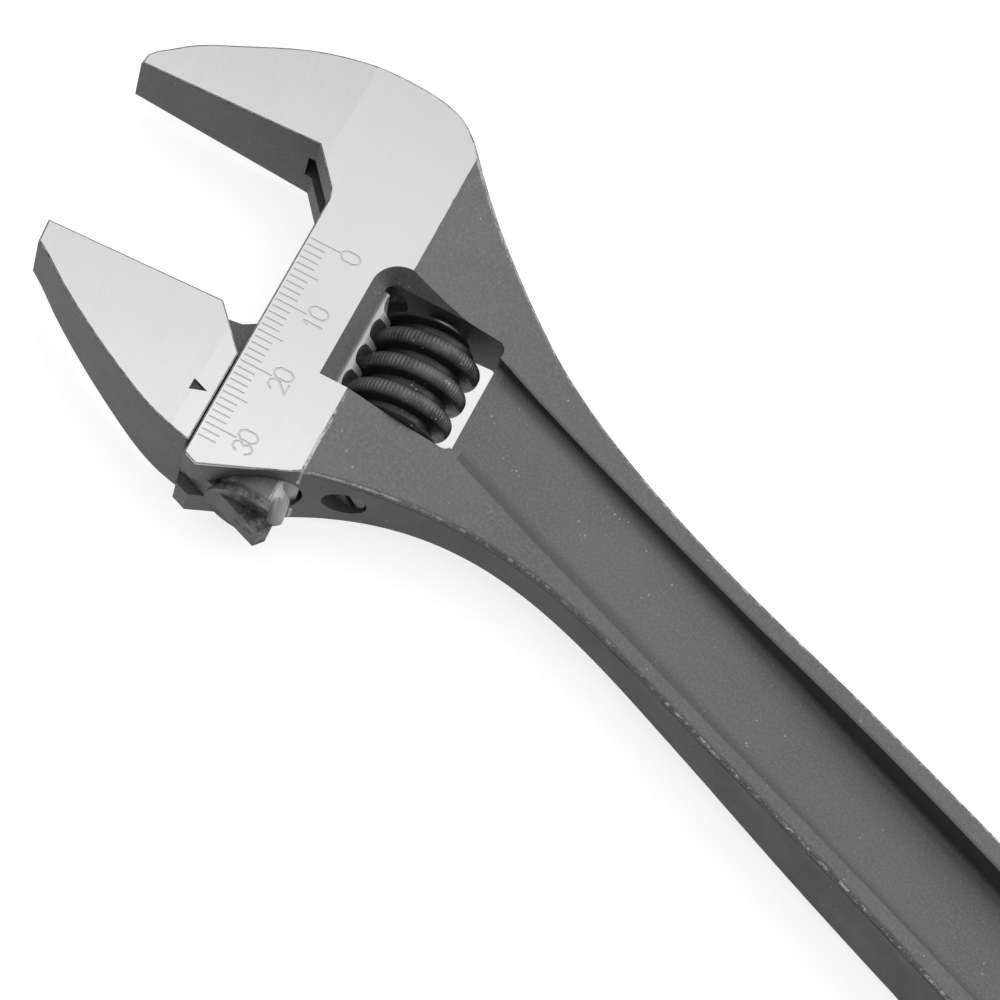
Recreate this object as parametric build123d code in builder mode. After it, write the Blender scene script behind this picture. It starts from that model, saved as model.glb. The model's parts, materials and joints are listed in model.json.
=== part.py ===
"""Adjustable wrench of the 250 mm class: a forged body, a moving jaw with its rack, a knurled
adjusting worm, the screw pin that the worm turns on, and the spring that takes up its play.

The origin is the centre of the hang hole, halfway through the thickness. +X runs up the handle
towards the jaws, +Y is the side that the moving jaw opens to, and +Z is the face with the scale.
"""
import os
from math import acos, atan, atan2, cos, degrees, hypot, pi, radians, sin

from build123d import *

# Driving dimensions, in millimetres and degrees
overall_length = 255.5       # handle end to fixed jaw tip, along the handle
head_angle = 20.5            # jaws to handle
head_thickness = 16.0
head_offset = 9.5            # fixed jaw face line to handle centre line, at the guide edge
jaw_depth = 30.9             # jaw tip to guide edge
jaw_opening = 26.1           # as the part is modelled
jaw_tip_half = 4.95          # half the thickness at the jaw tips
taper_start = 3.0            # the jaws thin from this far in front of the guide edge
beam_length = 47.7           # fixed jaw face to the open end of the guide edge
face_band = 14.4             # depth of the flat polished band behind the guide edge
throat_depth = 4.6           # corner left at the root of the fixed jaw's face
throat_length = 6.4
jaw_tip_flat = 2.7           # blunt end of the fixed jaw
flank_corner = 0.8           # the beam's open end, past its guide edge
flank_back = 5.1             # how far the flank draws in by the edge of the polished band

handle_half_width = 9.6      # where the handle leaves the neck
handle_end_radius = 11.2
hang_hole_radius = 7.0
neck_reach = 75.0            # head to the start of the straight handle
neck_thickness = 8.2
handle_thickness = 13.6
channel_width = 13.2         # floor of the channel in each handle face
channel_web = 4.6            # steel left between the two channels
channel_draft = 7.0
channel_end_gap = 6.0        # channel to hang hole
channel_corner = 4.5
channel_floor_radius = 0.9
forged_edge = 0.8            # rounding of the handle's outer edges
ground_edge = 0.3            # rounding of the head's and jaw's outer edges

window_overlap = 2.3         # bar axis to the near wall of the worm window
window_gap = 1.3             # worm to the far wall
window_start = 11.9          # fixed jaw face to the window, along the slide
window_length = 17.3
window_corner = 1.2
window_bevel = 1.9           # on the walls nearest the two jaw faces
window_bevel_depth = 2.4
window_bevel_corner = 2.8

bar_radius = 5.5             # the rack bar of the moving jaw
bar_centre = 9.9             # guide edge to the bar's axis
bar_start = 13.2
bar_end = 48.4
bar_flat = 4.8               # bar axis to the tips of the rack teeth
jaw_foot = 20.0              # moving jaw face to the end of its foot, at the guide edge
jaw_crown = 3.5              # blunt end of the moving jaw
foot_relief = 5.4            # corner cut from the foot beside the jaw's face
foot_relief_length = 5.9
slide_clearance = 0.15
web_thickness = 5.0          # plate between the moving jaw and its bar
web_start = 24.3
web_tip = 50.8
slot_run_out = 1.0           # slot past the web when the jaws are shut

worm_radius = 7.65
worm_pitch = 4.14
worm_gap = 2.4               # worm to the window's wall on the fixed jaw's side
end_play = 0.1               # worm to the other wall
thread_height = 1.9
thread_valley = 0.265 * worm_pitch   # between the feet of neighbouring turns
thread_slope = 0.06 * worm_pitch     # a flank leans in by this much
thread_rounding = 0.11 * worm_pitch
thread_clearance = 0.22
tip_clearance = 0.3          # rack teeth to the worm's root
mesh_point = 18.6            # a thread crest that faces the rack, along the slide
worm_end_chamfer = 0.8

pin_radius = 1.9
pin_clearance = 0.1
pin_head_radius = 2.9
pin_depth = 6.0              # pin in the wall past the window
pin_hole_flank = 7.6         # open end of the guide edge to the flank around the pin's hole
pin_head_recess = 0.6
pin_head_chamfer = 0.4
pin_slot_width = 0.9
pin_slot_depth = 1.1
pin_slot_turn = -60.0        # slot from the head's plane

spring_wire = 0.8
spring_outer_radius = 3.65
spring_turns = 5
spring_pocket_radius = 3.95
spring_pocket_depth = 6.0

scale_zero = 12.67           # fixed jaw face to the zero tick
scale_range = 32             # ticks, one each millimetre
tick_width = 0.22
tick_lengths = (2.6, 3.6, 4.6)
tick_start = 0.5
engraving_depth = 0.07
numeral_height = 2.6
numeral_stroke = 0.3
numeral_centre = 6.4
arrow_width = 1.7
arrow_length = 2.3
arrow_gap = 1.2              # arrow point to guide edge
arrow_depth = 0.36

# Places that follow from the sizes above
tilt = radians(head_angle)
head_x = overall_length - handle_end_radius - jaw_depth * cos(tilt)
head_origin = (head_x, -head_offset, 0)
slide_dir = Vector(-sin(tilt), cos(tilt), 0)
back_dir = Vector(-cos(tilt), -sin(tilt), 0)
half = head_thickness / 2
jaw_slope = (half - jaw_tip_half) / (jaw_depth - taper_start)
bore_radius = bar_radius + slide_clearance
slot_half = web_thickness / 2 + slide_clearance
worm_centre = bar_centre + bar_flat + tip_clearance + worm_radius - thread_height
worm_start = window_start + worm_gap
worm_length = window_length - worm_gap - end_play
window_near = bar_centre + window_overlap
window_far = worm_centre + worm_radius + window_gap
window_end = window_start + window_length

# In the head plane, x runs the way the jaw opens and y runs from the jaws towards the handle
head_plane = Plane(origin=head_origin, x_dir=slide_dir, z_dir=(0, 0, 1))
side_plane = Plane(origin=head_origin, x_dir=back_dir, z_dir=slide_dir)


def across(along, back):
    """A plane square to the slide; its x runs back towards the handle, its y up."""
    return Plane(origin=head_plane.from_local_coords((along, back, 0)), x_dir=back_dir, z_dir=slide_dir)


def on_handle(x, y):
    """A point given along and across the handle, in head plane coordinates."""
    local = head_plane.to_local_coords(Vector(x, y, 0))
    return (local.X, local.Y)


def behind_guide(edge):
    """How far an edge's middle lies behind the guide edge, towards the handle."""
    return head_plane.to_local_coords(edge.center()).Y


def thickness_profile():
    """Side view of the steel: tapered jaws, a flat head, a thin neck and a thicker handle."""
    start = jaw_depth + 2
    stop = overall_length * 1.1
    tip = half - jaw_slope * (start - taper_start)
    with BuildLine() as upper:
        jaw = Polyline((-start, 0), (-start, tip), (-taper_start, half), (face_band, half))
        neck = Spline(
            jaw @ 1,
            (face_band + 13.5, neck_thickness / 2 + 0.75),
            (face_band + 40, neck_thickness / 2),
            (face_band + 62, neck_thickness / 2 + 0.9),
            (face_band + 100, handle_thickness / 2),
            tangents=[(1, -0.3), (1, 0)],
        )
        Polyline(neck @ 1, (stop, handle_thickness / 2), (stop, 0))
        mirror(about=Plane.XZ)
    make_face(upper.edges())


def body_outline():
    """Plan view of the forging in the head plane."""
    neck_x = head_x - neck_reach
    reach = hypot(neck_x, handle_half_width)
    touch = atan2(handle_half_width, neck_x) + acos(handle_end_radius / reach)
    touch_x = handle_end_radius * cos(touch)
    touch_y = handle_end_radius * sin(touch)
    down_handle = (sin(tilt), cos(tilt))
    up_handle = (-sin(tilt), -cos(tilt))
    with BuildLine() as outline:
        jaw = Polyline(
            (-jaw_tip_flat, -jaw_depth + 1.1),
            (-jaw_tip_flat + 1.1, -jaw_depth + 0.2),
            (0, -jaw_depth),
            (0, -throat_depth),
            (throat_length - 1.5, -0.5),
            (throat_length, 0),
            (beam_length, 0),
            (beam_length + flank_corner, 2.1),
            (beam_length - flank_back, face_band + flank_corner),
        )
        lower = Spline(
            jaw @ 1,
            (beam_length - flank_back - 4.4, 36.5),
            on_handle(neck_x, handle_half_width),
            tangents=[(-0.42, 1), down_handle],
        )
        side = Line(lower @ 1, on_handle(touch_x, touch_y))
        end = ThreePointArc(side @ 1, on_handle(-handle_end_radius, 0), on_handle(touch_x, -touch_y))
        other_side = Line(end @ 1, on_handle(neck_x, -handle_half_width))
        Spline(
            other_side @ 1,
            (17.2, 49.3),
            (9.9, 36.7),
            (4.0, 28.9),
            (-2.1, 21.6),
            (-8.9, 14.7),
            (-12.6, 10.6),
            (-14.2, 4.1),
            (-14.1, -2.5),
            (-12.1, -12.0),
            (-8.3, -20.7),
            (-5.4, -26.3),
            jaw @ 0,
            tangents=[up_handle, (0.56, -0.83)],
        )
    make_face(outline.edges())


def stroke(start, end):
    """One straight, round-ended stroke of a numeral."""
    middle = ((start[0] + end[0]) / 2, (start[1] + end[1]) / 2)
    SlotCenterPoint(middle, end, numeral_stroke)


def numeral(digit, along, back):
    """Strokes of one numeral, its top towards the jaws, centred in the head plane."""
    top = numeral_height / 2
    side = numeral_height * 0.29
    bend = side * 0.4
    shoulder = top - side * 0.8
    paths = {
        0: [(-side, shoulder), (-bend, top), (bend, top), (side, shoulder),
            (side, -shoulder), (bend, -top), (-bend, -top), (-side, -shoulder), (-side, shoulder)],
        1: [(-side * 0.6, shoulder), (0, top), (0, -top)],
        2: [(-side, shoulder), (-bend, top), (bend, top), (side, shoulder),
            (side * 0.8, 0), (-side, -top), (side, -top)],
        3: [(-side, shoulder), (-bend, top), (bend, top), (side, shoulder), (bend, 0),
            (side, -shoulder), (bend, -top), (-bend, -top), (-side, -shoulder)],
    }
    with Locations(Location((along, back, 0), (0, 0, 180))):
        for start, end in zip(paths[digit], paths[digit][1:]):
            stroke(start, end)


def thread_section(swell):
    """The thread's axial section, standing on the root, with its crest along +X."""
    root = (worm_pitch - thread_valley) / 2 + swell
    crest = root - thread_slope
    foot = -tip_clearance
    top = thread_height + swell
    shoulder = top - thread_rounding
    with BuildLine() as section:
        flanks = Polyline((shoulder, crest), (foot, root), (foot, -root), (shoulder, -crest))
        ThreePointArc(flanks @ 1, (top, 0), flanks @ 0)
    make_face(section.edges())


def channel_start(y):
    """Where a channel wall at this height on the handle meets the worm window."""
    back = window_far - 1.0
    return (head_x - (back + (y + head_offset) * sin(tilt)) / cos(tilt), y)


with BuildPart() as wrench_body:
    with BuildSketch(head_plane):
        body_outline()
    extrude(amount=half, both=True)
    with BuildSketch(side_plane):
        thickness_profile()
    extrude(amount=overall_length, both=True, mode=Mode.INTERSECT)
    rims = edges().filter_by(lambda edge: abs(edge.center().Z) > channel_web / 2)
    fillet(rims.filter_by(lambda edge: behind_guide(edge) > face_band + 0.5), forged_edge)
    rims = edges().filter_by(lambda edge: abs(edge.center().Z) > channel_web / 2)
    fillet(rims.filter_by(lambda edge: behind_guide(edge) < face_band - 0.1), ground_edge)

    # Channels in both faces of the handle, their walls leaning outwards
    for side in (1, -1):
        with BuildSketch(Plane((0, 0, side * channel_web / 2), x_dir=(1, 0, 0), z_dir=(0, 0, side))):
            left = channel_start(side * channel_width / 2)
            right = channel_start(-side * channel_width / 2)
            ends = [(left[0], side * left[1]), (right[0], side * right[1])]
            far = hang_hole_radius + channel_end_gap
            Polygon(*ends, (far, ends[1][1]), (far, ends[0][1]), align=None)
            fillet(vertices().sort_by(Axis.X)[:2], channel_corner)
        extrude(amount=head_thickness / 2, taper=-channel_draft, mode=Mode.SUBTRACT)
        floor = side * channel_web / 2
        fillet(edges().filter_by_position(Axis.Z, floor, floor), channel_floor_radius)

    # Window for the worm, with a bevel where it meets the flat of the head
    window_middle = (window_start + window_length / 2, (window_near + window_far) / 2)
    with BuildSketch(head_plane):
        with Locations(window_middle):
            RectangleRounded(window_length, window_far - window_near, window_corner)
    extrude(amount=head_thickness, both=True, mode=Mode.SUBTRACT)
    for side in (1, -1):
        for level, grow in ((half, window_bevel), (half - window_bevel_depth, 0)):
            with BuildSketch(head_plane.offset(side * level)):
                with Locations((window_start - grow, window_near - grow)):
                    size = (window_length + grow, window_far - window_near + grow)
                    Rectangle(*size, align=(Align.MIN, Align.MIN))
                corner = vertices().sort_by(Axis((0, 0, 0), (1, 1, 0)))[0]
                fillet(corner, window_corner + grow * window_bevel_corner / window_bevel)
        loft(mode=Mode.SUBTRACT)

    # Bore for the rack bar, right through the head, and the slot for the jaw's web
    with BuildSketch(across(0, bar_centre)):
        Circle(bore_radius)
    extrude(amount=beam_length * 2, both=True, mode=Mode.SUBTRACT)
    slot_start = web_start - jaw_opening - slot_run_out
    with BuildSketch(head_plane):
        with Locations((slot_start, -throat_depth - slot_run_out)):
            size = (beam_length * 2, bar_centre + throat_depth + slot_run_out)
            Rectangle(*size, align=(Align.MIN, Align.MIN))
    extrude(amount=slot_half, both=True, mode=Mode.SUBTRACT)

    # Hole for the worm's pin: wide from the flank to the window, narrow past it
    with BuildSketch(across(window_end - 1, worm_centre)):
        Circle(pin_head_radius)
    extrude(amount=beam_length, mode=Mode.SUBTRACT)
    with BuildSketch(across(window_start - pin_depth, worm_centre)):
        Circle(pin_radius)
    extrude(amount=pin_depth + 1, mode=Mode.SUBTRACT)

    with BuildSketch(Plane.XY):
        Circle(hang_hole_radius)
    extrude(amount=head_thickness, both=True, mode=Mode.SUBTRACT)

    # Engraved scale, one tick each millimetre of opening, with a number every ten
    with BuildSketch(head_plane.offset(half)):
        for tick in range(scale_range + 1):
            length = tick_lengths[(tick % 5 == 0) + (tick % 10 == 0)]
            with Locations((scale_zero + tick, tick_start)):
                Rectangle(tick_width, length, align=(Align.CENTER, Align.MIN))
        numeral(0, scale_zero, numeral_centre)
        for ten in (1, 2, 3):
            numeral(ten, scale_zero + 10 * ten + numeral_height / 3, numeral_centre)
            numeral(0, scale_zero + 10 * ten - numeral_height / 3, numeral_centre)
    extrude(amount=-engraving_depth, mode=Mode.SUBTRACT)
wrench_body.part.label = "wrench_body"


with BuildPart() as moving_jaw:
    # The jaw itself, shut against the guide edge with a sliding gap
    with BuildSketch(head_plane):
        with BuildLine():
            jaw_edge = Polyline(
                (jaw_opening + jaw_crown, -jaw_depth + 0.3),
                (jaw_opening, -jaw_depth),
                (jaw_opening, -foot_relief),
                (jaw_opening + foot_relief_length, -slide_clearance),
                (jaw_opening + jaw_foot, -slide_clearance),
            )
            Spline(
                jaw_edge @ 1,
                (jaw_opening + 18.7, -5.2),
                (jaw_opening + 15.8, -11.5),
                (jaw_opening + 10.9, -20.0),
                (jaw_opening + 6.6, -26.3),
                jaw_edge @ 0,
                tangents=[(-0.2, -1), (-0.6, -1)],
            )
        make_face()
    extrude(amount=half, both=True)
    with BuildSketch(side_plane):
        thickness_profile()
    extrude(amount=overall_length, both=True, mode=Mode.INTERSECT)
    fillet(edges().filter_by(lambda edge: abs(edge.center().Z) > web_thickness / 2), ground_edge)

    # Web from the jaw through the slot, cut off on a slant at its open end
    with BuildSketch(head_plane):
        Polygon(
            (jaw_opening + 1, -8),
            (jaw_opening, -5.0),
            (jaw_opening - 0.4, -2.2),
            (web_start, 0),
            (web_start, bar_centre),
            (bar_end, bar_centre + bar_flat),
            (web_tip, bar_centre + bar_flat - thread_height),
            (jaw_opening + jaw_foot, -slide_clearance),
            (jaw_opening + 12, -8),
            align=None,
        )
    extrude(amount=web_thickness / 2, both=True)

    with BuildSketch(across(bar_start, bar_centre)):
        Circle(bar_radius)
        with Locations((bar_flat, 0)):
            Rectangle(bar_radius, bar_radius * 2, align=(Align.MIN, Align.CENTER), mode=Mode.SUBTRACT)
    extrude(amount=bar_end - bar_start)

    # Rack: grooves that lean with the worm's thread
    lead = degrees(atan(worm_pitch / (2 * pi * (worm_radius - thread_height / 2))))
    first = int((bar_start - mesh_point) // worm_pitch)
    last = int((web_tip - mesh_point) // worm_pitch) + 1
    for turn in range(first, last + 1):
        middle = head_plane.from_local_coords((mesh_point + turn * worm_pitch, worm_centre - worm_radius, 0))
        up = Vector(0, 0, 1).rotate(Axis((0, 0, 0), back_dir), -lead)
        with BuildSketch(Plane(middle + back_dir * thread_height, x_dir=-back_dir, z_dir=up)):
            thread_section(thread_clearance)
        extrude(amount=bar_radius * 1.5, both=True, mode=Mode.SUBTRACT)

    # Pointer that reads the scale
    with BuildSketch(head_plane.offset(half)):
        Polygon(
            (scale_zero + jaw_opening, -arrow_gap),
            (scale_zero + jaw_opening - arrow_width / 2, -arrow_gap - arrow_length),
            (scale_zero + jaw_opening + arrow_width / 2, -arrow_gap - arrow_length),
            align=None,
        )
    extrude(amount=-arrow_depth, mode=Mode.SUBTRACT)
moving_jaw.part.label = "moving_jaw"


# The worm turns about +Z of this plane, and its x points at the rack
worm_origin = head_plane.from_local_coords((mesh_point, worm_centre, 0))
worm_plane = Plane(origin=worm_origin, x_dir=-back_dir, z_dir=slide_dir)
worm_low = worm_start - mesh_point
worm_high = worm_low + worm_length
root_radius = worm_radius - thread_height
first_turn = int(worm_low // worm_pitch)
last_turn = int(worm_high // worm_pitch) + 1
helix_plane = worm_plane.offset(first_turn * worm_pitch)
thread_path = helix_plane * Helix(worm_pitch, (last_turn - first_turn) * worm_pitch, root_radius)

with BuildPart() as adjusting_worm:
    # Core and thread both run past the ends, and are trimmed to length and bevelled together
    with BuildSketch(worm_plane.offset(worm_low - 2 * worm_pitch)):
        Circle(root_radius)
    extrude(amount=worm_length + 4 * worm_pitch)
    with BuildSketch(Plane(thread_path @ 0, x_dir=-back_dir, z_dir=thread_path % 0)):
        thread_section(0)
    sweep(path=thread_path, is_frenet=True)
    with BuildSketch(worm_plane.offset(worm_low)):
        Circle(worm_radius + worm_pitch)
    extrude(amount=worm_length, mode=Mode.INTERSECT)
    margin = thread_height
    for end, way in ((worm_low, 1), (worm_high, -1)):
        with BuildSketch(Plane(worm_origin, x_dir=-back_dir, z_dir=(0, 0, 1))):
            Polygon(
                (worm_radius + margin, end - way * margin),
                (worm_radius + margin, end + way * (worm_end_chamfer + margin)),
                (worm_radius - worm_end_chamfer - margin, end - way * margin),
                align=None,
            )
        revolve(axis=Axis(worm_origin, slide_dir), mode=Mode.SUBTRACT)
    # Bore for the pin, and the pocket for the spring at the fixed jaw's end
    with BuildSketch(worm_plane.offset(worm_low)):
        Circle(pin_radius + pin_clearance)
    extrude(amount=worm_length, mode=Mode.SUBTRACT)
    with BuildSketch(worm_plane.offset(worm_low)):
        Circle(spring_pocket_radius)
    extrude(amount=spring_pocket_depth, mode=Mode.SUBTRACT)
adjusting_worm.part.label = "adjusting_worm"


with BuildPart() as worm_pin:
    shoulder = window_end + end_play
    head_end = beam_length - pin_hole_flank - pin_head_recess
    with BuildSketch(across(window_start - pin_depth, worm_centre)):
        Circle(pin_radius)
    extrude(amount=shoulder - window_start + pin_depth)
    with BuildSketch(across(shoulder, worm_centre)):
        Circle(pin_head_radius)
    extrude(amount=head_end - shoulder)
    chamfer(edges().filter_by(GeomType.CIRCLE).sort_by(Axis((0, 0, 0), slide_dir))[-1], pin_head_chamfer)
    with BuildSketch(across(head_end, worm_centre)):
        Rectangle(pin_head_radius * 2, pin_slot_width, rotation=pin_slot_turn)
    extrude(amount=-pin_slot_depth, mode=Mode.SUBTRACT)
worm_pin.part.label = "worm_pin"


# The spring pushes the worm away from the window's wall
coil_radius = spring_outer_radius - spring_wire / 2
spring_room = worm_start + spring_pocket_depth - window_start
spring_pitch = (spring_room - spring_wire - end_play) / spring_turns
spring_plane = across(window_start + (spring_wire + end_play) / 2, worm_centre)
spring_path = spring_plane * Helix(spring_pitch, spring_pitch * spring_turns, coil_radius)

with BuildPart() as worm_spring:
    with BuildSketch(Plane(spring_path @ 0, z_dir=spring_path % 0)):
        Circle(spring_wire / 2)
    sweep(path=spring_path, is_frenet=True)
worm_spring.part.label = "worm_spring"


os.makedirs("parts", exist_ok=True)
for piece in (wrench_body, moving_jaw, adjusting_worm, worm_pin, worm_spring):
    export_step(piece.part, f"parts/{piece.part.label}.step")
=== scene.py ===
"""Adjustable wrench: materials, knurled worm, studio light and camera around the CAD frame."""
import json
import random
from math import cos, pi, radians, sin

import bpy
from mathutils import Matrix, Vector


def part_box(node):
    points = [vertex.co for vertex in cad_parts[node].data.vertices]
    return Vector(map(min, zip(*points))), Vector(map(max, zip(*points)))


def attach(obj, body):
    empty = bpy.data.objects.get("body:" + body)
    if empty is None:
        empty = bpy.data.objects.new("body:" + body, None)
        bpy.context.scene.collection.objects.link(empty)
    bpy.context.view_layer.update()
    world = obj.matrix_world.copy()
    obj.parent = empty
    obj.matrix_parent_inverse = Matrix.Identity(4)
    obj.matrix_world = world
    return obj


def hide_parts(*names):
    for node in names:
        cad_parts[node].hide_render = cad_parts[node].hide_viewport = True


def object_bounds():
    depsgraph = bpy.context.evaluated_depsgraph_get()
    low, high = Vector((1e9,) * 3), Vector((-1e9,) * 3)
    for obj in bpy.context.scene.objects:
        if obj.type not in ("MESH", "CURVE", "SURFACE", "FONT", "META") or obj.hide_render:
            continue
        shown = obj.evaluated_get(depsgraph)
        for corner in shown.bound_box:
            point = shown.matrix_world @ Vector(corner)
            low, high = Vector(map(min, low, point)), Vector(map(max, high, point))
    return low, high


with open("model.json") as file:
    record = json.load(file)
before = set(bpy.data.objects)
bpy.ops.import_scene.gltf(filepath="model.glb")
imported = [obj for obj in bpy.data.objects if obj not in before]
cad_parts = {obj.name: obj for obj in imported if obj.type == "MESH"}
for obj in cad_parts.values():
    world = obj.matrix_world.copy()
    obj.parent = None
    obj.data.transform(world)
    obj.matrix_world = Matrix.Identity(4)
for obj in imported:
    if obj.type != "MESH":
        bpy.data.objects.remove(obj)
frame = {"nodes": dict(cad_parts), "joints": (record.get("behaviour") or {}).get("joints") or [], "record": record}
cad_low, cad_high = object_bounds()

MM = 0.001
joints = {joint["name"]: joint for joint in frame["joints"]}
slide_dir = Vector(joints["jaw_slide"]["axis"])
back_dir = Vector((0, 0, 1)).cross(slide_dir)
worm_point = Vector(joints["worm_spin"]["pos_m"])
mounts = {mount["name"]: mount for mount in frame["record"]["mounts"]}
jaw_point = Vector(mounts["fixed_jaw_face"]["pos_m"])

# The head's own frame: along the slide from the fixed jaw's face, back from the guide edge
WORM_CENTRE = 20.75 * MM
FACE_BAND = 14.4 * MM
WINDOW_LOW = (9.6 * MM, 9.9 * MM)
WINDOW_HIGH = (29.4 * MM, 30.4 * MM)
GROUND_LEVEL = 4.2 * MM
HEAD_HALF = 8.0 * MM
WANDER = 0.5 * MM
# The engraved scale's patch, the pointer's triangle and where the rack bar's rough end begins
SCALE_BAND = (0.35 * MM, 9.3 * MM)
SCALE_START = 10.0 * MM
POINTER = 38.77 * MM
POINTER_BAND = (-3.8 * MM, -1.0 * MM)
POINTER_DEPTH = (7.4 * MM, 7.85 * MM)
SHEARED_FROM = 46.8 * MM
MESH_POINT = 18.6 * MM
# The handle's channels
CHANNEL_FLOOR = 2.3 * MM
CHANNEL_HALF = 6.6 * MM
CHANNEL_DRAFT = 0.123
CHANNEL_END = 18.0 * MM
CHANNEL_BACK = 31 * MM
# The worm: its knurl, half the thread's axial width at foot and crest as a share of the pitch,
# the thread's depth and rounding, the ends' bevel, and the bore with the spring's pocket
KNURL_TEETH = 84
KNURL_STEPS = 6
KNURL_DEPTH = 0.12 * MM
FOOT_SHARE = 0.3675
CREST_SHARE = 0.3075
THREAD_DEPTH = 1.9 * MM
THREAD_ROUNDING = 0.85 * MM
END_BEVEL = 0.8 * MM
BORE_RADIUS = 2.0 * MM
POCKET_RADIUS = 3.95 * MM
POCKET_DEPTH = 6.0 * MM
ROW_STEP = 0.07 * MM
guide_point = worm_point - back_dir * WORM_CENTRE
head_origin = guide_point - slide_dir * (guide_point - jaw_point).dot(slide_dir)


# ---------------------------------------------------------------- node helpers
class Nodes:
    """A short way to write a node tree."""

    def __init__(self, name):
        self.material = bpy.data.materials.new(name)
        self.material.use_nodes = True
        self.tree = self.material.node_tree
        self.shader = self.tree.nodes["Principled BSDF"]

    def add(self, kind, **settings):
        node = self.tree.nodes.new(kind)
        for key, value in settings.items():
            setattr(node, key, value)
        return node

    def link(self, source, target):
        self.tree.links.new(source, target)

    def feed(self, socket, value):
        if isinstance(value, bpy.types.NodeSocket):
            self.link(value, socket)
        else:
            socket.default_value = value

    def math(self, operation, *values, clamp=False):
        node = self.add("ShaderNodeMath", operation=operation, use_clamp=clamp)
        for socket, value in zip(node.inputs, values):
            self.feed(socket, value)
        return node.outputs[0]

    def product(self, first, *others):
        for other in others:
            first = self.math("MULTIPLY", first, other)
        return first

    def between(self, value, low, high):
        above = self.math("GREATER_THAN", value, low)
        return self.math("MULTIPLY", above, self.math("LESS_THAN", value, high))

    def ramp(self, value, low, high, out_low=0.0, out_high=1.0):
        node = self.add("ShaderNodeMapRange", interpolation_type="SMOOTHSTEP")
        for socket, number in zip(node.inputs, (value, low, high, out_low, out_high)):
            self.feed(socket, number)
        return node.outputs[0]

    def mix(self, factor, low, high):
        node = self.add("ShaderNodeMix", data_type="RGBA")
        self.feed(node.inputs["Factor"], factor)
        colours = [socket for socket in node.inputs if socket.type == "RGBA"]
        self.feed(colours[0], low)
        self.feed(colours[1], high)
        return [socket for socket in node.outputs if socket.type == "RGBA"][0]

    def blend(self, factor, low, high):
        node = self.add("ShaderNodeMix", data_type="FLOAT")
        self.feed(node.inputs[0], factor)
        self.feed(node.inputs[2], low)
        self.feed(node.inputs[3], high)
        return node.outputs[0]

    def place(self):
        return self.add("ShaderNodeTexCoord").outputs["Object"]

    def dot(self, vector, direction, offset=0.0):
        node = self.add("ShaderNodeVectorMath", operation="DOT_PRODUCT")
        self.link(vector, node.inputs[0])
        node.inputs[1].default_value = tuple(direction)
        return self.math("SUBTRACT", node.outputs["Value"], offset)

    def noise(self, vector, scale, detail=3.0, roughness=0.5):
        node = self.add("ShaderNodeTexNoise")
        self.link(vector, node.inputs["Vector"])
        node.inputs["Scale"].default_value = scale
        node.inputs["Detail"].default_value = detail
        node.inputs["Roughness"].default_value = roughness
        return node.outputs["Fac"]

    def speckle(self, vector, scale):
        node = self.add("ShaderNodeTexVoronoi")
        self.link(vector, node.inputs["Vector"])
        node.inputs["Scale"].default_value = scale
        return node.outputs["Distance"]

    def stretch(self, vector, direction, factor):
        """The same place, squeezed along one direction so that noise runs in streaks along it."""
        along = self.add("ShaderNodeVectorMath", operation="DOT_PRODUCT")
        self.link(vector, along.inputs[0])
        along.inputs[1].default_value = tuple(direction)
        pull = self.add("ShaderNodeVectorMath", operation="SCALE")
        pull.inputs[0].default_value = tuple(direction)
        shortening = self.math("MULTIPLY", along.outputs["Value"], 1 / factor - 1)
        self.link(shortening, pull.inputs["Scale"])
        total = self.add("ShaderNodeVectorMath", operation="ADD")
        self.link(vector, total.inputs[0])
        self.link(pull.outputs[0], total.inputs[1])
        return total.outputs[0]

    def bump(self, height, strength, distance, under=None):
        node = self.add("ShaderNodeBump")
        if under:
            self.link(under.outputs[0], node.inputs["Normal"])
        node.inputs["Strength"].default_value = strength
        node.inputs["Distance"].default_value = distance
        self.link(height, node.inputs["Height"])
        return node

    def flatness(self):
        """How squarely the surface faces along Z, from 0 to 1."""
        geometry = self.add("ShaderNodeNewGeometry")
        split = self.add("ShaderNodeSeparateXYZ")
        self.link(geometry.outputs["True Normal"], split.inputs[0])
        return self.math("ABSOLUTE", split.outputs["Z"])

    def height(self, vector):
        split = self.add("ShaderNodeSeparateXYZ")
        self.link(vector, split.inputs[0])
        return self.math("ABSOLUTE", split.outputs["Z"])


def grey(value, tint=0.0):
    return (value, value * (1 - tint), value * (1 + tint * 0.5), 1)


def coat_grey(value):
    return grey(value, 0.01)


def steel_grey(value):
    return grey(value, 0.008)


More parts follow.
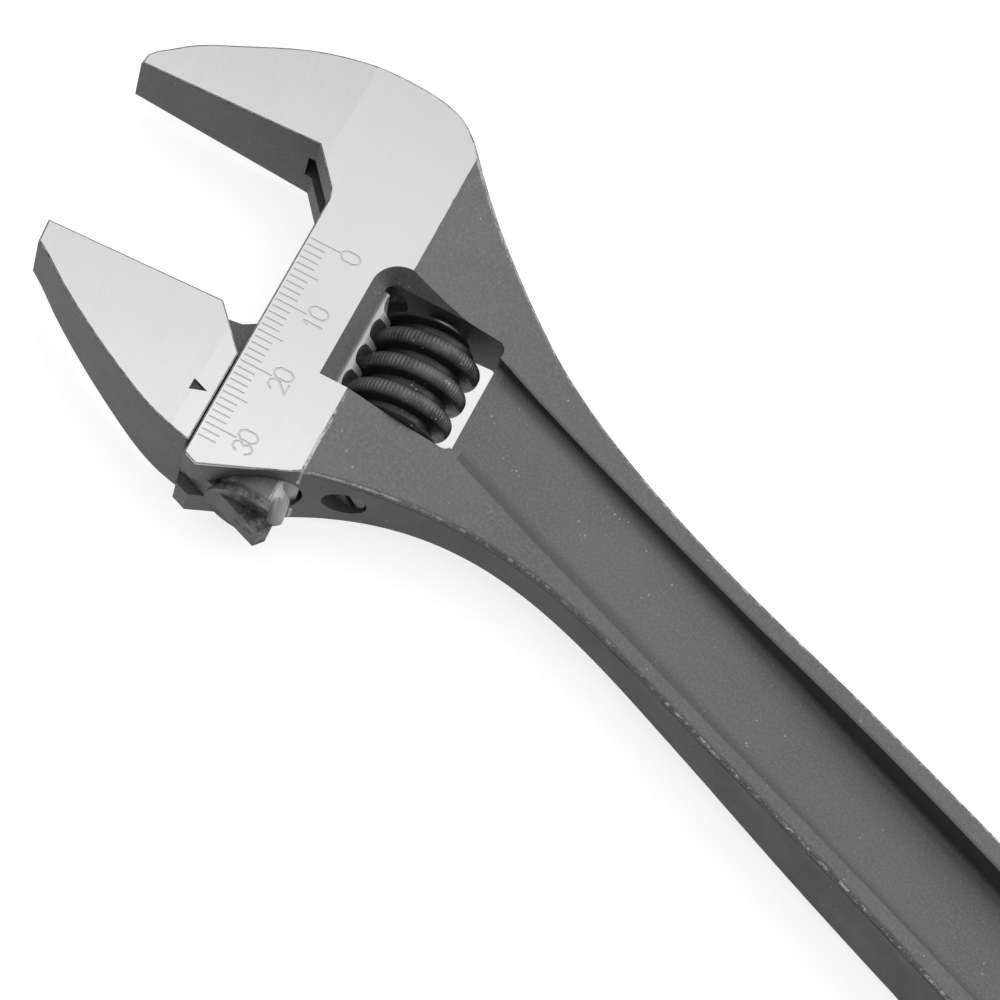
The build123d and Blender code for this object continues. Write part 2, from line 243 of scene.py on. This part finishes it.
class ForgedSteel(Nodes):
    """Black phosphate all over; the flat faces in front of the band's edge are ground bright."""

    def __init__(self, name, band):
        super().__init__(name)
        self.band = band
        self.spot = self.place()
        self.back = self.dot(self.spot, back_dir, head_origin.dot(back_dir))
        self.along = self.dot(self.spot, slide_dir, head_origin.dot(slide_dir))
        self.flat = self.flatness()
        self.tall = self.height(self.spot)
        self.cloud = self.noise(self.spot, 120, 5, 0.65)
        self.grain = self.noise(self.spot, 2600, 3, 0.7)
        self.streak = self.noise(self.stretch(self.spot, slide_dir, 24.0), 4200, 3, 0.65)
        self.broad = self.noise(self.stretch(self.spot, slide_dir, 4.0), 90, 3, 0.5)
        # The grinding stops at a slightly wandering line
        swing = self.math("SUBTRACT", self.noise(self.spot, 420, 3, 0.6), 0.5)
        self.edge = self.math("ADD", self.back, self.math("MULTIPLY", swing, WANDER))
        self.high = self.ramp(self.tall, GROUND_LEVEL - 0.1 * MM, GROUND_LEVEL + 0.1 * MM)

    def black_coat(self):
        """Nearly even, with fine grain, painted shade on the steep flanks and pale dust specks."""
        tone = self.mix(self.ramp(self.cloud, 0.3, 0.7), coat_grey(0.135), coat_grey(0.165))
        tone = self.mix(self.ramp(self.grain, 0.42, 0.7, 0.0, 0.7), tone, coat_grey(0.21))
        tone = self.mix(self.ramp(self.grain, 0.42, 0.2, 0.0, 0.5), tone, coat_grey(0.09))
        # Painted shade: steep faces darkened, more so further along the handle
        steep = self.ramp(self.flat, 0.6, 0.25)
        tone = self.mix(self.product(steep, self.flank_shade()), tone, coat_grey(0.035))
        specks = self.ramp(self.speckle(self.spot, 1100), 0.2, 0.08)
        rare = self.ramp(self.noise(self.spot, 380, 3, 0.6), 0.57, 0.64)
        tone = self.mix(self.product(specks, rare, 0.7), tone, grey(0.5))
        # Painted shade along the handle's channel walls
        return self.mix(self.channel_painted_shade(), tone, coat_grey(0.05))

    def flank_shade(self):
        """How much painted shade the flanks get; the walls inside the handle's channels keep more of the grey."""
        shade = self.ramp(self.back, 12 * MM, 26 * MM, 0.3, 0.66)
        shade = self.math("ADD", shade, self.ramp(self.back, 35 * MM, 80 * MM, 0.0, 0.26))
        off_axis = self.math("ABSOLUTE", self.dot(self.spot, (0, 1, 0)))
        near_axis = self.ramp(off_axis, 8.4 * MM, 7.8 * MM)
        inner = self.product(near_axis, self.math("GREATER_THAN", self.back, 45 * MM))
        return self.product(shade, self.ramp(inner, 0.0, 1.0, 1.0, 0.25))

    def channel_painted_shade(self):
        """Painted shade in the handle's channels: a dark band along the foot of each wall, and a dark line on each
        wall's rim for its rounded edge in shade.
        """
        split = self.add("ShaderNodeSeparateXYZ")
        self.link(self.spot, split.inputs[0])
        side = self.math("ABSOLUTE", split.outputs["Y"])
        rise = self.math("SUBTRACT", self.tall, CHANNEL_FLOOR)
        wall = self.math("ADD", self.product(rise, CHANNEL_DRAFT), CHANNEL_HALF)
        past_wall = self.math("SUBTRACT", side, wall)
        # Painted shade where the channel floor meets each wall
        foot = self.ramp(past_wall, -2.2 * MM, -0.4 * MM, 0.0, 0.5)
        foot = self.product(foot, self.math("LESS_THAN", self.tall, CHANNEL_FLOOR + 0.9 * MM))
        # Painted shade on the wall's rim, a rounded edge turned from the light
        lip = self.ramp(past_wall, 0.5 * MM, 0.25 * MM, 0.0, 0.5)
        lip = self.product(lip, self.math("GREATER_THAN", past_wall, -0.3 * MM))
        behind_head = self.math("GREATER_THAN", self.back, CHANNEL_BACK)
        short_of_hole = self.math("GREATER_THAN", split.outputs["X"], CHANNEL_END)
        return self.product(self.math("MAXIMUM", foot, lip), behind_head, short_of_hole)

    def ground_steel(self):
        """Fine streaks along the slide; painted shade darkens the fixed jaw and painted light brightens the beam's
        open end.
        """
        steel = self.mix(self.ramp(self.streak, 0.3, 0.7), steel_grey(0.60), steel_grey(0.64))
        steel = self.mix(self.ramp(self.broad, 0.3, 0.75, 0.0, 0.35), steel, steel_grey(0.57))
        # Painted light gradient: darker towards the fixed jaw, lighter towards the beam's open end
        steel = self.mix(self.ramp(self.along, 12 * MM, -20 * MM, 0.0, 0.8), steel, steel_grey(0.51))
        return self.mix(self.ramp(self.along, 22 * MM, 50 * MM, 0.0, 0.8), steel, steel_grey(0.72))

    def ground_mask(self):
        """The grinding reaches flat, high places in front of the band's edge."""
        front = self.ramp(self.edge, self.band + 0.06 * MM, self.band - 0.06 * MM)
        return self.product(front, self.ramp(self.flat, 0.965, 0.985), self.high)

    def engraving(self, ground, steel):
        """The scale: its strokes count as ground, and are tinted a little darker."""
        patch = self.product(
            self.between(self.back, *SCALE_BAND),
            self.math("GREATER_THAN", self.along, SCALE_START),
            self.math("GREATER_THAN", self.tall, HEAD_HALF - 0.3 * MM),
        )
        ground = self.math("MAXIMUM", ground, patch)
        sunk = self.ramp(self.tall, HEAD_HALF - 0.02 * MM, HEAD_HALF - 0.05 * MM)
        strokes = self.product(sunk, patch, self.ramp(self.broad, 0.3, 0.7, 0.95, 0.6))
        return ground, self.mix(strokes, steel, grey(0.47))

    def wear(self):
        """Rubbed outer edges, most of all round the head's open end, and a burr beside it."""
        rim = self.product(self.ramp(self.flat, 0.5, 0.68), self.ramp(self.flat, 0.93, 0.86))
        outer = self.ramp(self.tall, 3.3 * MM, 3.7 * MM)
        patch = self.ramp(self.noise(self.spot, 700, 6, 0.85), 0.50, 0.57)
        on_handle = self.product(patch, self.ramp(self.back, 40 * MM, 90 * MM, 0.6, 1.0))
        near_head = self.ramp(self.back, self.band + 24 * MM, self.band + 8 * MM)
        broken = self.ramp(self.noise(self.spot, 1300, 5, 0.85), 0.44, 0.56, 0.1, 1.0)
        rub = self.math("MAXIMUM", on_handle, self.product(near_head, broken, 0.8))
        rubbed = self.product(rim, outer, rub, self.outside_window())
        burr = self.product(
            self.ramp(self.edge, self.band - 0.1 * MM, self.band + 0.12 * MM),
            self.ramp(self.edge, self.band + 0.5 * MM, self.band + 0.3 * MM),
            self.ramp(self.along, 29 * MM, 33 * MM),
            self.ramp(self.noise(self.spot, 420, 5, 0.8), 0.40, 0.5),
        )
        return self.math("MAXIMUM", rubbed, self.product(burr, self.high))

    def outside_window(self):
        """1 outside the worm's window and its bevels."""
        before = self.math("LESS_THAN", self.along, WINDOW_LOW[0])
        outside = self.math("ADD", before, self.math("GREATER_THAN", self.along, WINDOW_HIGH[0]))
        outside = self.math("ADD", outside, self.math("LESS_THAN", self.back, WINDOW_LOW[1]))
        behind = self.math("GREATER_THAN", self.back, WINDOW_HIGH[1])
        return self.math("ADD", outside, behind, clamp=True)

    def coat_bump(self):
        lumps = self.noise(self.spot, 520, 4, 0.65)
        return self.bump(self.math("ADD", self.product(self.grain, 0.5), lumps), 0.4, 0.1 * MM)

    def rack_bar(self, colour, metal, coat):
        """Bright rack teeth, and the sheared end of the bar, lumpy and mottled."""
        lumps = self.noise(self.spot, 420, 5, 0.7)
        clear_of_web = self.ramp(self.tall, 2.45 * MM, 2.6 * MM)
        on_bar = self.math("MAXIMUM", clear_of_web, self.ramp(self.back, 8.5 * MM, 9.5 * MM))
        sheared = self.product(self.ramp(self.along, SHEARED_FROM, SHEARED_FROM + 0.8 * MM), on_bar)
        teeth = self.ramp(self.back, 12.4 * MM, 12.8 * MM)
        teeth = self.product(teeth, self.ramp(self.along, SHEARED_FROM, SHEARED_FROM - 1 * MM))
        steel = self.mix(self.ramp(self.streak, 0.3, 0.7), grey(0.42), grey(0.6))
        colour = self.mix(teeth, colour, steel)
        metal = self.blend(teeth, metal, 0.75)
        mottle = self.mix(self.ramp(lumps, 0.4, 0.62), grey(0.045), grey(0.2))
        coat = self.bump(self.product(lumps, sheared), 0.8, 0.9 * MM, coat)
        return self.mix(sheared, colour, mottle), metal, coat

    def pointer_mark(self, colour, metal):
        """Paint in the pointer's sunk triangle."""
        off_pointer = self.math("ABSOLUTE", self.math("SUBTRACT", self.along, POINTER))
        mark = self.product(
            self.math("LESS_THAN", off_pointer, 1.1 * MM),
            self.between(self.back, *POINTER_BAND),
            self.between(self.tall, *POINTER_DEPTH),
        )
        return self.mix(mark, colour, grey(0.03)), self.blend(mark, metal, 0.0)

    def surface(self, colour, metal, ground, coat):
        """Hand everything to the shader: coat and ground steel differ in gloss and in relief."""
        self.link(colour, self.shader.inputs["Base Color"])
        self.link(metal, self.shader.inputs["Metallic"])
        rough_coat = self.ramp(self.cloud, 0.2, 0.8, 0.5, 0.62)
        rough_steel = self.ramp(self.streak, 0.2, 0.8, 0.36, 0.46)
        self.link(self.blend(ground, rough_coat, rough_steel), self.shader.inputs["Roughness"])
        scratch = self.bump(self.streak, 0.08, 0.02 * MM)
        pick = self.add("ShaderNodeMix", data_type="VECTOR")
        self.link(ground, pick.inputs[0])
        self.link(coat.outputs[0], pick.inputs[4])
        self.link(scratch.outputs[0], pick.inputs[5])
        self.link(pick.outputs[1], self.shader.inputs["Normal"])


def body_finish():
    n = ForgedSteel("body_black_coat_and_ground_faces", FACE_BAND)
    ground, steel = n.engraving(n.ground_mask(), n.ground_steel())
    colour = n.mix(ground, n.mix(n.wear(), n.black_coat(), grey(0.62)), steel)
    n.surface(colour, n.blend(ground, 0.25, 0.9), ground, n.coat_bump())
    return n.material


def jaw_finish():
    n = ForgedSteel("jaw_black_coat_and_ground_faces", 0.0)
    ground = n.ground_mask()
    colour = n.mix(ground, n.mix(n.wear(), n.black_coat(), grey(0.62)), n.ground_steel())
    colour, metal, coat = n.rack_bar(colour, n.blend(ground, 0.25, 0.9), n.coat_bump())
    colour, metal = n.pointer_mark(colour, metal)
    n.surface(colour, metal, ground, coat)
    return n.material


def worm_finish(radius):
    """Black oxide, rubbed grey on the knurled crests, with oily grit between the turns."""
    n = Nodes("worm_black_oxide")
    place = n.place()
    # Distance from the worm's axis
    shift = n.add("ShaderNodeVectorMath", operation="SUBTRACT")
    n.link(place, shift.inputs[0])
    shift.inputs[1].default_value = tuple(worm_point)
    axial = n.dot(shift.outputs[0], slide_dir)
    length = n.add("ShaderNodeVectorMath", operation="LENGTH")
    n.link(shift.outputs[0], length.inputs[0])
    whole_square = n.math("POWER", length.outputs["Value"], 2.0)
    square = n.math("SUBTRACT", whole_square, n.math("POWER", axial, 2.0))
    out = n.math("SQRT", square)
    grit = n.noise(place, 1600, 4, 0.75)
    cloud = n.noise(place, 350, 4, 0.6)
    tone = n.mix(cloud, grey(0.018), grey(0.05))
    crest = n.ramp(out, radius - 0.55 * MM, radius - 0.05 * MM)
    worn = n.math("MULTIPLY", crest, n.ramp(cloud, 0.3, 0.65, 0.25, 0.9))
    tone = n.mix(worn, tone, grey(0.14))
    specks = n.ramp(n.speckle(place, 1500), 0.26, 0.12)
    rare = n.ramp(n.noise(place, 450, 3, 0.7), 0.56, 0.62)
    tone = n.mix(n.product(specks, rare, 0.8), tone, grey(0.5))
    n.link(tone, n.shader.inputs["Base Color"])
    n.shader.inputs["Metallic"].default_value = 0.35
    n.link(n.ramp(cloud, 0.3, 0.7, 0.34, 0.5), n.shader.inputs["Roughness"])
    n.link(n.bump(grit, 0.35, 0.08 * MM).outputs[0], n.shader.inputs["Normal"])
    return n.material


def plain_steel(name, value, rough, metal=0.8):
    n = Nodes(name)
    place = n.place()
    cloud = n.noise(place, 500, 4, 0.6)
    n.link(n.mix(cloud, grey(value * 0.7), grey(value * 1.35)), n.shader.inputs["Base Color"])
    n.link(n.ramp(cloud, 0.2, 0.8, rough - 0.06, rough + 0.08), n.shader.inputs["Roughness"])
    n.shader.inputs["Metallic"].default_value = metal
    n.link(n.bump(n.noise(place, 2500, 3, 0.6), 0.2, 0.05 * MM).outputs[0], n.shader.inputs["Normal"])
    return n.material


def pin_finish():
    return plain_steel("pin_black_oxide", 0.11, 0.42, 0.5)


def spring_finish():
    return plain_steel("spring_oiled_wire", 0.3, 0.35)


def dress(node, material):
    node.data.materials.clear()
    node.data.materials.append(material)


# ---------------------------------------------------------------- the worm, with its knurl
def knurled_worm():
    """The worm as one closed mesh: a right-hand thread whose crests carry a straight knurl."""
    cad = frame["nodes"]["adjusting_worm"]
    spans = [vertex.co.dot(slide_dir) for vertex in cad.data.vertices]
    low, high = min(spans), max(spans)
    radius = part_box("adjusting_worm")[1].z
    pitch = 2 * pi / frame["record"]["behaviour"]["couplings"][0]["ratio"]
    crest_place = head_origin.dot(slide_dir) + MESH_POINT
    dice = random.Random(7)
    ridge = [dice.uniform(0.6, 1.0) for _ in range(KNURL_TEETH)]
    around = KNURL_TEETH * KNURL_STEPS
    rows = int((high - low) / ROW_STEP)
    foot, crest = FOOT_SHARE * pitch, CREST_SHARE * pitch

    def outline(angle, step, span):
        phase = ((span - crest_place) / pitch - angle / (2 * pi) + 0.5) % 1.0 - 0.5
        off = abs(phase) * pitch
        if off >= foot:
            return radius - THREAD_DEPTH
        if off >= crest:
            climb = (THREAD_DEPTH - THREAD_ROUNDING) * (foot - off) / (foot - crest)
            return radius - THREAD_DEPTH + climb
        drop = THREAD_ROUNDING * (1 - (1 - (off / crest) ** 2) ** 0.5)
        groove = 0.5 - 0.5 * cos(2 * pi * (step % KNURL_STEPS) / KNURL_STEPS)
        knurl = KNURL_DEPTH * (1 - groove * ridge[step // KNURL_STEPS])
        return radius - drop - knurl * max(0.0, 1 - (off / crest) ** 4)

    vertices = []
    axis_point = worm_point - slide_dir * worm_point.dot(slide_dir)
    towards_rack = -back_dir
    upward = slide_dir.cross(towards_rack)

    def ring(span, sizes):
        for step in range(around):
            angle = 2 * pi * step / around
            arm = towards_rack * cos(angle) + upward * sin(angle)
            vertices.append(axis_point + slide_dir * span + arm * sizes(angle, step))

    for row in range(rows + 1):
        span = low + (high - low) * row / rows
        limit = radius - END_BEVEL + min(span - low, high - span)
        ring(span, lambda angle, step: min(outline(angle, step, span), limit))
    shelf = low + POCKET_DEPTH
    inner = [(high, BORE_RADIUS), (shelf, BORE_RADIUS), (shelf, POCKET_RADIUS), (low, POCKET_RADIUS)]
    for span, size in inner:
        ring(span, lambda angle, step: size)
    count = rows + 1 + len(inner)
    faces = []
    for row in range(count):
        following = (row + 1) % count
        for step in range(around):
            beside = (step + 1) % around
            faces.append((
                row * around + step, row * around + beside,
                following * around + beside, following * around + step,
            ))
    mesh = bpy.data.meshes.new("knurled_worm")
    mesh.from_pydata(vertices, [], faces)
    mesh.update()
    worm = bpy.data.objects.new("knurled_worm", mesh)
    bpy.context.scene.collection.objects.link(worm)
    for polygon in mesh.polygons:
        polygon.use_smooth = True
    mesh.set_sharp_from_angle(angle=radians(50))
    mesh.materials.append(worm_finish(radius))
    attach(worm, "worm")
    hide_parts("adjusting_worm")


dress(frame["nodes"]["wrench_body"], body_finish())
dress(frame["nodes"]["moving_jaw"], jaw_finish())
dress(frame["nodes"]["adjusting_worm"], worm_finish(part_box("adjusting_worm")[1].z))
dress(frame["nodes"]["worm_pin"], pin_finish())
dress(frame["nodes"]["worm_spring"], spring_finish())
knurled_worm()


# ---------------------------------------------------------------- floor, light, camera
TARGET = (0.16898, 0.0051, 0)
FLOOR_SIZE = 6
FLOOR_MIDDLE = 0.1
FLOOR_GAP = 0.0001
FLOOR_GLOW = 0.78
WORLD_STRENGTH = 0.25
CAMERA_DISTANCE = 0.9531
CAMERA_ELEVATION = radians(66.54)
CAMERA_AZIMUTH = radians(-150.96)
CAMERA_ROLL = radians(19.616)
LENS = 262.8


def pale_floor():
    bpy.ops.mesh.primitive_plane_add(size=FLOOR_SIZE, location=(FLOOR_MIDDLE, 0, cad_low.z - FLOOR_GAP))
    floor = bpy.context.object
    floor.name = "floor"
    n = Nodes("pale_floor")
    n.shader.inputs["Base Color"].default_value = (0.5, 0.5, 0.5, 1)
    n.shader.inputs["Roughness"].default_value = 0.8
    n.shader.inputs["Emission Color"].default_value = (1, 1, 1, 1)
    n.shader.inputs["Emission Strength"].default_value = FLOOR_GLOW
    floor.data.materials.append(n.material)
    floor.visible_diffuse = False


def soft_light(name, direction, distance, size, radiance):
    """A disk light that faces the wrench; its strength is the radiance of its face."""
    data = bpy.data.lights.new(name, "AREA")
    data.shape = "DISK"
    data.size = size
    data.energy = radiance * pi * pi * (size / 2) ** 2
    light = bpy.data.objects.new(name, data)
    light.location = target + Vector(direction).normalized() * distance
    light.rotation_euler = (target - light.location).to_track_quat("-Z", "Y").to_euler()
    bpy.context.scene.collection.objects.link(light)


target = Vector(TARGET)
pale_floor()
soft_light("overhead", (0.19, -0.35, 0.92), 1.7, 2.6, 1.15)
soft_light("side", (-0.5, -0.75, 0.5), 1.5, 0.9, 4.0)

world = bpy.data.worlds.new("studio")
bpy.context.scene.world = world
world.use_nodes = True
background = world.node_tree.nodes["Background"]
background.inputs["Color"].default_value = (1, 1, 1, 1)
background.inputs["Strength"].default_value = WORLD_STRENGTH
bpy.context.scene.view_settings.view_transform = "Standard"

toward_camera = Vector((
    cos(CAMERA_ELEVATION) * sin(CAMERA_AZIMUTH),
    -cos(CAMERA_ELEVATION) * cos(CAMERA_AZIMUTH),
    sin(CAMERA_ELEVATION),
))
camera_data = bpy.data.cameras.new("camera")
camera_data.lens = LENS
camera_data.sensor_width = 36
camera_data.clip_start = 0.01
camera = bpy.data.objects.new("camera", camera_data)
camera.rotation_mode = "QUATERNION"
camera.location = target + toward_camera * CAMERA_DISTANCE
level = toward_camera.to_track_quat("Z", "Y")
camera.rotation_quaternion = level @ Matrix.Rotation(CAMERA_ROLL, 3, "Z").to_quaternion()
bpy.context.scene.collection.objects.link(camera)
bpy.context.scene.camera = camera
